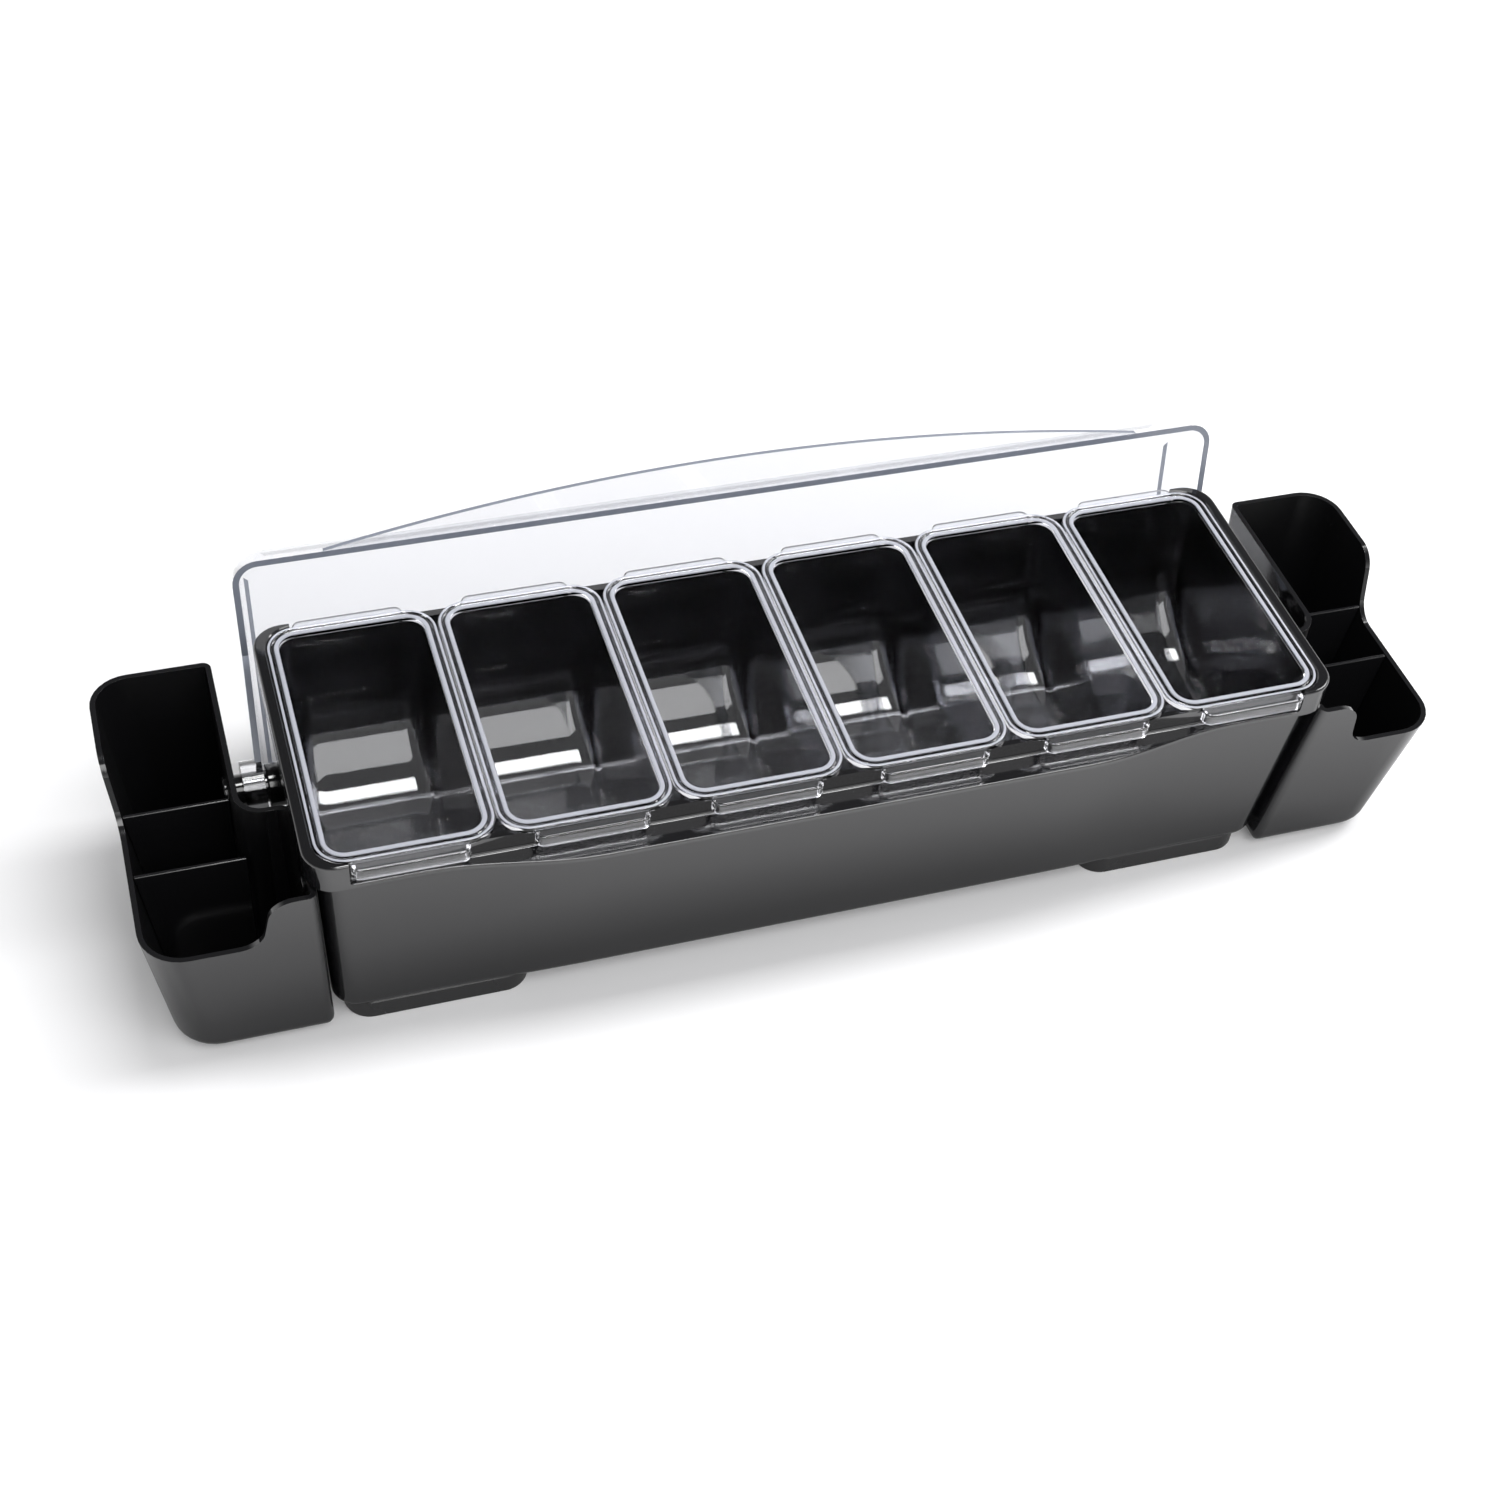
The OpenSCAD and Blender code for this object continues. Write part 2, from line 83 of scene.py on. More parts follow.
# Moulded surface: faint ripple from the mould, fine grain, and rubbed patches in the gloss.
def mouldedSkinGroup():
    group = bpy.data.node_groups.new("mouldedSkin", "ShaderNodeTree")
    face = group.interface
    for name, value in (("Roughness low", 0.1), ("Roughness high", 0.2), ("Patch scale", 18.0),
                        ("Grain scale", 900.0), ("Ripple", 0.3), ("Grain", 0.05)):
        socket = face.new_socket(name, in_out="INPUT", socket_type="NodeSocketFloat")
        socket.default_value = value
    face.new_socket("Roughness", in_out="OUTPUT", socket_type="NodeSocketFloat")
    face.new_socket("Height", in_out="OUTPUT", socket_type="NodeSocketFloat")
    nodes = group.nodes
    inp, out = nodes.new("NodeGroupInput"), nodes.new("NodeGroupOutput")
    coords = nodes.new("ShaderNodeTexCoord")
    patch = nodes.new("ShaderNodeTexNoise")
    patch.inputs["Detail"].default_value = 4
    link(group, coords.outputs["Object"], patch.inputs["Vector"])
    link(group, inp.outputs["Patch scale"], patch.inputs["Scale"])
    mapped = nodes.new("ShaderNodeMapRange")
    mapped.inputs["From Min"].default_value = 0.3
    mapped.inputs["From Max"].default_value = 0.7
    link(group, patch.outputs["Fac"], mapped.inputs["Value"])
    link(group, inp.outputs["Roughness low"], mapped.inputs["To Min"])
    link(group, inp.outputs["Roughness high"], mapped.inputs["To Max"])
    link(group, mapped.outputs["Result"], out.inputs["Roughness"])
    grain = nodes.new("ShaderNodeTexNoise")
    grain.inputs["Detail"].default_value = 2
    link(group, coords.outputs["Object"], grain.inputs["Vector"])
    link(group, inp.outputs["Grain scale"], grain.inputs["Scale"])
    grainHeight = nodes.new("ShaderNodeMath")
    grainHeight.operation = "MULTIPLY"
    link(group, grain.outputs["Fac"], grainHeight.inputs[0])
    link(group, inp.outputs["Grain"], grainHeight.inputs[1])
    ripple = nodes.new("ShaderNodeMath")
    ripple.operation = "MULTIPLY"
    link(group, patch.outputs["Fac"], ripple.inputs[0])
    link(group, inp.outputs["Ripple"], ripple.inputs[1])
    total = nodes.new("ShaderNodeMath")
    link(group, grainHeight.outputs[0], total.inputs[0])
    link(group, ripple.outputs[0], total.inputs[1])
    link(group, total.outputs[0], out.inputs["Height"])
    return group


mouldedSkin = mouldedSkinGroup()


def mouldedMaterial(name, s):
    material = bpy.data.materials.new(name)
    material.use_nodes = True
    tree = material.node_tree
    shader = tree.nodes["Principled BSDF"]
    shader.inputs["Base Color"].default_value = (*s["colour"], 1)
    shader.inputs["IOR"].default_value = s["ior"]
    shader.inputs["Transmission Weight"].default_value = s.get("clear", 0.0)
    shader.inputs["Specular IOR Level"].default_value = s.get("specular", 0.5)
    skin = tree.nodes.new("ShaderNodeGroup")
    skin.node_tree = mouldedSkin
    for key, socket in (("roughLow", "Roughness low"), ("roughHigh", "Roughness high"),
                        ("patchScale", "Patch scale"), ("grainScale", "Grain scale"),
                        ("ripple", "Ripple"), ("grain", "Grain")):
        skin.inputs[socket].default_value = s[key]
    bump = tree.nodes.new("ShaderNodeBump")
    bump.inputs["Strength"].default_value = s["bump"]
    bump.inputs["Distance"].default_value = 0.0005
    link(tree, skin.outputs["Roughness"], shader.inputs["Roughness"])
    link(tree, skin.outputs["Height"], bump.inputs["Height"])
    link(tree, bump.outputs["Normal"], shader.inputs["Normal"])
    return material


blackSet = {"colour": (0.008, 0.008, 0.009), "ior": 1.55, "specular": 0.95, "roughLow": 0.08,
            "roughHigh": 0.14, "patchScale": 14, "grainScale": 1400, "ripple": 0.4,
            "grain": 0.05, "bump": 0.25}
# Painted shade: a darker, less glossy copy of the black for the faces inside the caddy cells.
cellShadeSet = dict(blackSet, colour=(0.003, 0.003, 0.0035), specular=0.4, roughLow=0.3,
                     roughHigh=0.42)
footSet = dict(blackSet, colour=(0.014, 0.014, 0.015), roughLow=0.22, roughHigh=0.34)
traySet = {"colour": (0.93, 0.935, 0.97), "ior": 1.57, "clear": 1.0, "roughLow": 0.02,
           "roughHigh": 0.06, "patchScale": 30, "grainScale": 1800, "ripple": 0.25,
           "grain": 0.02, "bump": 0.2}
hoodSet = {"colour": (0.87, 0.875, 0.9), "ior": 1.58, "clear": 1.0, "roughLow": 0.01,
           "roughHigh": 0.03, "patchScale": 12, "grainScale": 1500, "ripple": 0.1,
           "grain": 0.01, "bump": 0.1}
# Painted reflection: a grey-blue, half-clear copy of the hood plastic for the sheet's cut edges.
hoodEdgeReflectionSet = dict(hoodSet, colour=(0.3, 0.33, 0.4), clear=0.35, roughLow=0.12, roughHigh=0.25)
# Painted highlight: a pale, half-clear copy of the tray plastic for the rim's top faces.
rimHighlightSet = dict(traySet, colour=(0.78, 0.8, 0.9), clear=0.5, roughLow=0.06, roughHigh=0.14)

blackPlastic = mouldedMaterial("glossBlackPlastic", blackSet)
cellShadePlastic = mouldedMaterial("shadedCellBlackPlastic", cellShadeSet)
footPlastic = mouldedMaterial("satinBlackPlastic", footSet)
trayPlastic = mouldedMaterial("clearTrayPlastic", traySet)
hoodPlastic = mouldedMaterial("clearHoodPlastic", hoodSet)
paintedHoodEdgeReflection = mouldedMaterial("paintedHoodEdgeReflection", hoodEdgeReflectionSet)
paintedRimHighlight = mouldedMaterial("paintedRimHighlight", rimHighlightSet)
print("materials made")


# ---------- mesh helpers ----------

# Closed ring of edges in plan at height z through corners (x, y, radius).
def cornerRing(bm, corners, z, steps=8):
    before = set(bm.edges)
    verts = [bm.verts.new((x, y, z)) for x, y, r in corners]
    bm.faces.new(verts)
    for radius in sorted({r for x, y, r in corners if r > 0}):
        chosen = [v for v, c in zip(verts, corners) if c[2] == radius]
        bmesh.ops.bevel(bm, geom=chosen, offset=radius, offset_type="OFFSET", segments=steps,
                        profile=0.5, affect="VERTICES", material=-1, clamp_overlap=False)
    ring = [e for e in bm.edges if e not in before]
    faces = list({f for e in ring for f in e.link_faces})
    bmesh.ops.delete(bm, geom=faces, context="FACES_ONLY")
    return ring


def rectangleRing(bm, halfX, halfY, radius, z, steps=8):
    return cornerRing(bm, [(-halfX, -halfY, radius), (halfX, -halfY, radius),
                           (halfX, halfY, radius), (-halfX, halfY, radius)], z, steps)


def skinRings(bm, rings, closeLow=True, closeHigh=True):
    for low, high in zip(rings, rings[1:]):
        bmesh.ops.bridge_loops(bm, edges=low + high)
    if closeLow:
        bmesh.ops.contextual_create(bm, geom=rings[0])
    if closeHigh:
        bmesh.ops.contextual_create(bm, geom=rings[-1])


def tidyMesh(bm):
    bmesh.ops.remove_doubles(bm, verts=bm.verts, dist=0.002)
    bmesh.ops.recalc_face_normals(bm, faces=bm.faces)


def boxMesh(low, high, round=0.0, steps=3):
    bm = bmesh.new()
    bmesh.ops.create_cube(bm, size=1)
    middle = [(a + b) / 2 for a, b in zip(low, high)]
    bmesh.ops.scale(bm, vec=[b - a for a, b in zip(low, high)], verts=bm.verts)
    bmesh.ops.translate(bm, vec=middle, verts=bm.verts)
    if round:
        bmesh.ops.bevel(bm, geom=bm.edges[:], offset=round, offset_type="OFFSET",
                        segments=steps, profile=0.5, affect="EDGES", material=-1)
    return bm


# Round bar along X between two distances from the middle.
def barMesh(x0, x1, radius, y, z, segments=64, round=0.0):
    bm = bmesh.new()
    turn = Matrix.Rotation(math.radians(90), 4, "Y")
    place = Matrix.Translation(((x0 + x1) / 2, y, z)) @ turn
    bmesh.ops.create_cone(bm, cap_ends=True, segments=segments, radius1=radius,
                          radius2=radius, depth=abs(x1 - x0), matrix=place)
    if round:
        ends = [e for e in bm.edges if abs(e.verts[0].co.x - e.verts[1].co.x) < 1e-4]
        bmesh.ops.bevel(bm, geom=ends, offset=round, offset_type="OFFSET", segments=3,
                        profile=0.5, affect="EDGES", material=-1)
    return bm


# Prism through (a, b) points of a plane: along X the plane is (y, z), along Z it is (x, y),
# and along Y it is (x, z).
def prismMesh(points, along, start, end):
    order = {"X": lambda a, b, c: (c, a, b), "Y": lambda a, b, c: (a, c, b),
             "Z": lambda a, b, c: (a, b, c)}[along]
    bm = bmesh.new()
    face = bm.faces.new([bm.verts.new(order(a, b, start)) for a, b in points])
    grown = bmesh.ops.extrude_face_region(bm, geom=[face])
    moved = [v for v in grown["geom"] if isinstance(v, bmesh.types.BMVert)]
    bmesh.ops.translate(bm, vec=order(0, 0, end - start), verts=moved)
    tidyMesh(bm)
    return bm


def holderObject(bm):
    tidyMesh(bm)
    mesh = bpy.data.meshes.new("working")
    bm.to_mesh(mesh)
    bm.free()
    holder = bpy.data.objects.new("working", mesh)
    bpy.context.scene.collection.objects.link(holder)
    return holder


# Joins or cuts meshes: steps holds (operation, mesh) pairs, done in order.
def combined(base, steps):
    host = holderObject(base)
    tools = []
    for operation, tool in steps:
        tools.append(holderObject(tool))
        change = host.modifiers.new("change", "BOOLEAN")
        change.operation = operation
        change.solver = "EXACT"
        change.object = tools[-1]
    view = bpy.context.evaluated_depsgraph_get()
    result = bmesh.new()
    result.from_mesh(host.evaluated_get(view).to_mesh())
    for holder in [host, *tools]:
        mesh = holder.data
        bpy.data.objects.remove(holder)
        bpy.data.meshes.remove(mesh)
    return result


def arcPoints(cx, cy, radius, start, end, steps=10):
    turns = [math.radians(start + (end - start) * i / steps) for i in range(steps + 1)]
    return [(cx + radius * math.cos(t), cy + radius * math.sin(t)) for t in turns]


def makePiece(name, bm, material, body, replaced=(), sharp=32, edge=0.0, moveX=0.0,
              second=None, chosen=None):
    tidyMesh(bm)
    for face in bm.faces:
        face.material_index = 1 if chosen and chosen(face) else 0
    place = Matrix.Translation((moveX * mm, tubMiddle, 0)) @ Matrix.Scale(mm, 4)
    bmesh.ops.transform(bm, matrix=place, verts=bm.verts)
    mesh = bpy.data.meshes.new(name)
    bm.to_mesh(mesh)
    bm.free()
    mesh.materials.append(material)
    if second:
        mesh.materials.append(second)
    piece = bpy.data.objects.new(name, mesh)
    bpy.context.scene.collection.objects.link(piece)
    finishFaces(piece, sharp, edge)
    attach(piece, body)
    if replaced:
        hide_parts(*replaced)
    return piece


def finishFaces(piece, sharp, edge):
    mesh = piece.data
    mesh.polygons.foreach_set("use_smooth", [True] * len(mesh.polygons))
    if edge:
        soften = piece.modifiers.new("softEdges", "BEVEL")
        soften.width = edge * mm
        soften.segments = 3
        soften.limit_method = "ANGLE"
        soften.angle_limit = math.radians(sharp)
        soften.harden_normals = False
    else:
        mesh.set_sharp_from_angle(angle=math.radians(sharp))
    weighted = piece.modifiers.new("evenNormals", "WEIGHTED_NORMAL")
    weighted.keep_sharp = True


# ---------- tub ----------

tubSet = {
    "rimHeight": 127.0, "skirtHalf": (242.2, 76.5), "skirtHeight": 15.5, "skirtRadius": 14,
    "wallHalf": (237.0, 72.7), "wallRadius": 12, "wall": 2.5, "endDraft": 2.0,
    "sideDraft": 6.2, "bottomRound": 6.0, "footHeight": 10.5, "bulge": 9.0, "lowBulge": 1.2,
    "bulgeFlat": 115.0, "bulgeEnd": 190.0, "frontCuts": 47, "pocketHalf": (237.1, 74.0),
    "pocketRadius": 14.2, "mouthHalf": (233.9, 69.6), "mouthRadius": 8.9, "seat": 3.0,
    "postStart": 224.0, "bossStart": 233, "pastRim": 160, "pastFront": 120,
    "ridgeFace": 72.3, "frontDrop": 12.0, "rearDrop": 6.0, "ledgeRound": 0.8, "bossRadius": 10.2,
    "bossEnd": 246.1, "pivot": (23.3, 77.8),
}


def fadeAt(x, s):
    t = max(0.0, min(1.0, (s["bulgeEnd"] - abs(x)) / (s["bulgeEnd"] - s["bulgeFlat"])))
    return t * t * (3 - 2 * t)


# One ring of the tub: a rounded rectangle whose front edge is cut up and pushed out.
def tubRing(bm, s, half, radius, z, bulge=0.0):
    before = set(bm.edges)
    rectangleRing(bm, half[0], half[1], radius, z)
    ring = [e for e in bm.edges if e not in before]
    front = max((e for e in ring if e.verts[0].co.y + e.verts[1].co.y < -half[1] * 1.9),
                key=lambda e: e.calc_length())
    bmesh.ops.subdivide_edges(bm, edges=[front], cuts=s["frontCuts"])
    ring = [e for e in bm.edges if e not in before]
    for v in {v for e in ring for v in e.verts}:
        if v.co.y < -half[1] + 0.001:
            v.co.y -= bulge * fadeAt(v.co.x, s)
    return ring


def wallHalfAt(z, s, inset):
    fall = s["rimHeight"] - s["skirtHeight"] - z
    return (s["wallHalf"][0] - fall * math.tan(math.radians(s["endDraft"])) - inset,
            s["wallHalf"][1] - fall * math.tan(math.radians(s["sideDraft"])) - inset)


# Rounds the outer edges of the two ledges.
def softenLedges(bm, s):
    chosen = []
    for edge in bm.edges:
        a, b = (v.co for v in edge.verts)
        drop = s["frontDrop"] if a.y < 0 else s["rearDrop"]
        level = s["rimHeight"] - drop
        outside = min(abs(a.y), abs(b.y)) > s["skirtHalf"][1] - 0.3
        if abs(a.z - level) < 0.01 and abs(b.z - level) < 0.01 and outside:
            chosen.append(edge)
    bmesh.ops.bevel(bm, geom=chosen, offset=s["ledgeRound"], offset_type="OFFSET", segments=3,
                    profile=0.5, affect="EDGES", material=-1, clamp_overlap=False)


def makeTub(s):
    bm = bmesh.new()
    skirtZ = s["rimHeight"] - s["skirtHeight"]
    rings = []
    for a in range(0, 91, 15):  # bottom edge
        c, sn = math.cos(math.radians(a)), math.sin(math.radians(a))
        z = s["footHeight"] + s["bottomRound"] * (1 - c)
        rings.append(tubRing(bm, s, wallHalfAt(z, s, s["bottomRound"] * (1 - sn)),
                             s["wallRadius"], z, s["lowBulge"]))
    rings.append(tubRing(bm, s, wallHalfAt(skirtZ - 1, s, 0), s["wallRadius"], skirtZ - 1,
                         s["bulge"]))
    rings.append(tubRing(bm, s, wallHalfAt(skirtZ, s, -0.8), s["wallRadius"], skirtZ,
                         s["bulge"]))
    for inset, z in ((1.2, skirtZ), (0.35, skirtZ + 0.35), (0, skirtZ + 1.2),
                     (0, s["rimHeight"] - 1.4), (0.18, s["rimHeight"] - 0.7),
                     (0.7, s["rimHeight"] - 0.18), (1.4, s["rimHeight"])):
        rings.append(tubRing(bm, s, (s["skirtHalf"][0] - inset, s["skirtHalf"][1] - inset),
                             s["skirtRadius"] - inset, z, s["bulge"]))
    px, py = s["pocketHalf"]
    for grow, z in ((0.5, s["rimHeight"]), (0, s["rimHeight"] - 0.5),
                    (0, s["rimHeight"] - s["seat"])):
        rings.append(tubRing(bm, s, (px + grow, py + grow), s["pocketRadius"] + grow, z))
    underLedge = s["rimHeight"] - s["frontDrop"] - s["wall"]
    for z in (s["rimHeight"] - s["seat"], underLedge):
        rings.append(tubRing(bm, s, s["mouthHalf"], s["mouthRadius"], z))
    for z in (underLedge, skirtZ):
        rings.append(tubRing(bm, s, wallHalfAt(skirtZ, s, s["wall"]), s["wallRadius"] - s["wall"],
                             z, s["bulge"]))
    floorZ = s["footHeight"] + s["wall"]
    innerRound = s["bottomRound"] - s["wall"]
    for a in range(90, -1, -30):  # inside bottom edge
        c, sn = math.cos(math.radians(a)), math.sin(math.radians(a))
        z = floorZ + innerRound * (1 - c)
        rings.append(tubRing(bm, s, wallHalfAt(z, s, s["wall"] + innerRound * (1 - sn)),
                             s["wallRadius"] - s["wall"], z, s["lowBulge"]))
    skinRings(bm, rings)
    frontBox = boxMesh((-s["postStart"], -s["pastFront"], s["rimHeight"] - s["frontDrop"]),
                       (s["postStart"], -s["ridgeFace"], s["pastRim"]), 1.6)
    rearBox = boxMesh((-s["postStart"], s["ridgeFace"], s["rimHeight"] - s["rearDrop"]),
                      (s["postStart"], s["pastFront"], s["pastRim"]), 1.2)
    y, z = s["pivot"]
    bosses = [("UNION", barMesh(side * s["bossStart"], side * s["bossEnd"], s["bossRadius"],
                                y, z, 64, 0.8)) for side in (-1, 1)]
    bm = combined(bm, [("DIFFERENCE", frontBox), ("DIFFERENCE", rearBox), *bosses])
    tidyMesh(bm)
    softenLedges(bm, s)
    makePiece("tubShell", bm, blackPlastic, "base", ["base_tub"], 34)


makeTub(tubSet)
print("tub made")


# ---------- feet, pins and pegs ----------

footShape = {"outer": 228.2, "inner": 141.3, "halfDepth": 60.0, "corner": 12.6, "top": 12.4,
             "edge": 1.0, "draft": 0.4}


def makeFoot(side, name, s):
    bm = bmesh.new()
    middle, half = side * (s["outer"] + s["inner"]) / 2, (s["outer"] - s["inner"]) / 2
    rings = []
    for inset, z in ((s["edge"], 0), (s["edge"] * 0.3, s["edge"] * 0.3), (0, s["edge"]),
                     (0, 10.5), (1.8, s["top"])):
        rings.append(rectangleRing(bm, half - inset, s["halfDepth"] - inset,
                                   s["corner"] - inset, z, 10))
    skinRings(bm, rings)
    bmesh.ops.translate(bm, vec=(middle, 0, 0), verts=bm.verts)
    makePiece("plinth" + name, bm, footPlastic, "base", ["foot_" + name.lower()])


pinSet = {"start": 234.0, "end": 266.0, "radius": 7.5, "round": 0.9}


def makePin(side, name, s, pivot):
    bm = barMesh(side * s["start"], side * s["end"], s["radius"], pivot[0], pivot[1], 64,
                 s["round"])
    makePiece("pivotPin" + name, bm, blackPlastic, "base",
              ["hinge_pin_" + name.lower()])


pegSet = {"start": 232.0, "end": 241.5, "radius": 3.5, "y": -45.0, "z": 85.0, "round": 0.7}


def makePeg(side, name, s):
    bm = barMesh(side * s["start"], side * s["end"], s["radius"], s["y"], s["z"], 40, s["round"])
    makePiece("hangerPeg" + name, bm, blackPlastic, "base",
              ["hanger_peg_" + name.lower()])


for side, name in ((-1, "Left"), (1, "Right")):
    makeFoot(side, name, footShape)
    makePin(side, name, pinSet, tubSet["pivot"])
    makePeg(side, name, pegSet)
print("feet, pins and pegs made")


# ---------- clear trays ----------

# The CAD's trays are deeper, 104, and have no scoop: depth and scoop are this script's own.
trayForm = {
    "rimHalf": (39.2, 73.6), "rimRadius": 14.0, "openHalf": (33.5, 67.6), "openRadius": 9.0,
    "rimHeight": 127.0, "seatZ": 124.0, "depth": 78.0, "wall": 1.8, "sideDraft": 4.0,
    "endDraft": 6.2, "floorRound": 8.0, "scoop": 46.0, "leastRadius": 3, "pitch": 79.0,
    "count": 6, "tabHalf": 25.5, "tabReach": 5.9, "rearReach": 3.6, "tabTop": 126.4,
    "tabThick": 2.0, "tabDrop": 4.4, "lipWall": 1.9, "lipDepth": 5, "hollowDepth": 9,
    "highlightDrop": 0.42,  # how far below the rim's top the painted highlight lines reach
    # rim section from its outer underside over the bead, groove and lip: (inset, drop)
    "rim": [(0.5, 3.0), (0.15, 2.85), (0, 2.5), (0, 1.1), (0.12, 0.65), (0.4, 0.4), (0.85, 0.3),
            (1.5, 0.33), (1.95, 0.6), (2.25, 1.1), (2.7, 1.3), (3.1, 1.1), (3.3, 0.5),
            (3.6, 0.1), (4.1, 0), (4.8, 0), (5.3, 0.12), (5.6, 0.5)],
}


def trayHalfAt(z, s, inset):
    fall = s["seatZ"] - z
    return (s["openHalf"][0] + s["wall"] - fall * math.tan(math.radians(s["sideDraft"])) - inset,
            s["openHalf"][1] + s["wall"] - fall * math.tan(math.radians(s["endDraft"])) - inset)


# Grip tab: a rounded plate that reaches out past the rim, with its lip turned down.
def tabMesh(s, reach, drop):
    edge = s["rimHalf"][1] + reach
    w = s["tabHalf"]
    plate = bmesh.new()
    rings = []
    for inset, z in ((0.5, s["tabTop"] - s["tabThick"]), (0, s["tabTop"] - s["tabThick"] + 0.5),
                     (0, s["tabTop"] - 0.6), (0.2, s["tabTop"] - 0.2), (0.7, s["tabTop"])):
        rings.append(cornerRing(plate, [(-w + inset, -edge + inset, 4 - inset),
                                        (w - inset, -edge + inset, 4 - inset),
                                        (w - inset, -edge + reach + 1.2, 0),
                                        (-w + inset, -edge + reach + 1.2, 0)], z))
    skinRings(plate, rings)
    if not drop:
        return plate
    lip = bmesh.new()
    low = s["tabTop"] - s["tabThick"] - drop
    rings = []
    for inset, z in ((0.4, low), (0, low + 0.5), (0, s["tabTop"] - 1)):
        back = -edge + s["lipDepth"]
        rings.append(cornerRing(lip, [(-w + inset, -edge + inset, 3.9),
                                      (w - inset, -edge + inset, 3.9),
                                      (w - inset, back, 0), (-w + inset, back, 0)], z))
    skinRings(lip, rings)
    hollow = bmesh.new()
    rings = []
    wall = s["lipWall"]
    for z in (low - 1, s["tabTop"] - s["tabThick"]):
        back = -edge + s["hollowDepth"]
        rings.append(cornerRing(hollow, [(-w + wall, -edge + wall, 2.1),
                                         (w - wall, -edge + wall, 2.1),
                                         (w - wall, back, 0), (-w + wall, back, 0)], z))
    skinRings(hollow, rings)
    return combined(plate, [("UNION", lip), ("DIFFERENCE", hollow)])


# One ring of the tray's cup, height above its floor; its rear rises in a wide scoop.
def cupRing(bm, s, base, height, grow):
    low = s["floorRound"] - s["wall"] + grow
    scoop = s["scoop"] + grow
    bend = lambda r: r - math.sqrt(max(0.0, r * r - (r - height) ** 2)) if height < r else 0.0
    z = base + height
    inset = s["wall"] - grow + bend(low)
    halfX, halfY = trayHalfAt(z, s, inset)
    rear = halfY + bend(low) - bend(scoop)
    r = max(s["openRadius"] + s["wall"] - inset, s["leastRadius"])
    return cornerRing(bm, [(-halfX, -halfY, r), (halfX, -halfY, r), (halfX, rear, r),
                           (-halfX, rear, r)], z)


def trayMesh(s):
    bm = bmesh.new()
    base = s["rimHeight"] - s["depth"]
    turns = [math.radians(a) for a in range(0, 91, 6)]
    outer = s["scoop"] + s["wall"]
    rings = [cupRing(bm, s, base - s["wall"], outer * (1 - math.cos(a)), s["wall"])
             for a in turns]  # outside, up from the foot
    rings.append(rectangleRing(bm, *trayHalfAt(s["seatZ"], s, 0), s["openRadius"] + s["wall"],
                               s["seatZ"]))
    for inset, drop in s["rim"]:
        rings.append(rectangleRing(bm, s["rimHalf"][0] - inset, s["rimHalf"][1] - inset,
                                   s["rimRadius"] - inset, s["rimHeight"] - drop))
    rings += [cupRing(bm, s, base, s["scoop"] * (1 - math.cos(a)), 0)
              for a in reversed(turns)]  # inside, down to the floor
    skinRings(bm, rings)
    rear = tabMesh(s, s["rearReach"], 0)
    bmesh.ops.rotate(rear, cent=(0, 0, 0), matrix=Matrix.Rotation(math.pi, 3, "Z"),
                     verts=rear.verts)
    return combined(bm, [("UNION", tabMesh(s, s["tabReach"], s["tabDrop"])), ("UNION", rear)])


# The bead and the lip of the rim carry two pale lines of painted highlight.
def onPaintedRimHighlight(face, s):
    return face.calc_center_median().z > s["rimHeight"] - s["highlightDrop"]


def makeTrays(s):
    master = trayMesh(s)
    for k in range(s["count"]):
        number = k + 1
        makePiece(f"clearTray{number}", master.copy(), trayPlastic, f"tray_{number}",
                  [f"tray_{number}"], 34, moveX=(k - 2.5) * s["pitch"],
                  second=paintedRimHighlight, chosen=lambda face: onPaintedRimHighlight(face, s))
    master.free()


makeTrays(trayForm)
print("trays made")


# ---------- hood ----------

hoodForm = {
    "mouthZ": 128.0, "height": 32.6, "half": 246.5, "cheekSlope": 0.075, "front": 65.4,
    "lean": 0.402, "rear": 70.0, "sheet": 3.0, "fold": 7.0, "corner": 12.0, "bowReach": 18.3,
    "bowHalf": 204.0, "bowThick": 2.8, "bowSet": 0.3, "swing": 100.0, "hubRadius": 13.0,
    "hubOuter": 257.0, "hubInner": 247.3, "holeRadius": 7.55, "armTop": (-16.0, 54.0),
    "armWidth": 12.2, "pastSide": 300,
}


def hoodBox(s, t, bottom, rear):
    bm = bmesh.new()
    top = s["mouthZ"] + s["height"]
    r = s["fold"] - t
    levels = [(bottom, 0.0)]
    for a in range(0, 91, 15):
        levels.append((top - t - r + r * math.sin(math.radians(a)),
                       r * (1 - math.cos(math.radians(a)))))
    rings = []
    for z, inset in levels:
        hx = s["half"] + s["cheekSlope"] * (s["mouthZ"] - z) - t - inset
        front = -s["front"] + s["lean"] * (z - s["mouthZ"]) + t + inset
        corner = s["corner"] - t
        rings.append(cornerRing(bm, [(-hx, front, corner), (hx, front, corner),
                                     (hx, rear, 0), (-hx, rear, 0)], z))
    skinRings(bm, rings)
    return bm


# The cut edge of the hood's sheet: narrow faces of the mouth, the rear, the arms and the bow,
# which get a grey-blue painted reflection.
def isSheetEdge(face, s, pivot):
    longest = max(edge.calc_length() for edge in face.edges)
    if face.calc_area() > 1.25 * s["sheet"] * longest or longest < 7:
        return False
    close = Matrix.Rotation(math.radians(s["swing"]), 3, "X")
    centre = Vector((0, *pivot))
    place = close @ (face.calc_center_median() - centre) + centre
    normal = close @ face.normal
    if place.z < s["mouthZ"] - 0.5:
        return abs(normal.x) < 0.3 and place.z > pivot[1] + s["hubRadius"]
    onBow = place.y < -s["front"] - 0.5 and abs(normal.z) < 0.3 and normal.y < 0
    onRear = normal.y > 0.9 and place.y > s["rear"] - 1
    return normal.z < -0.9 or onRear or (onBow and place.z < s["mouthZ"] + s["bowThick"])


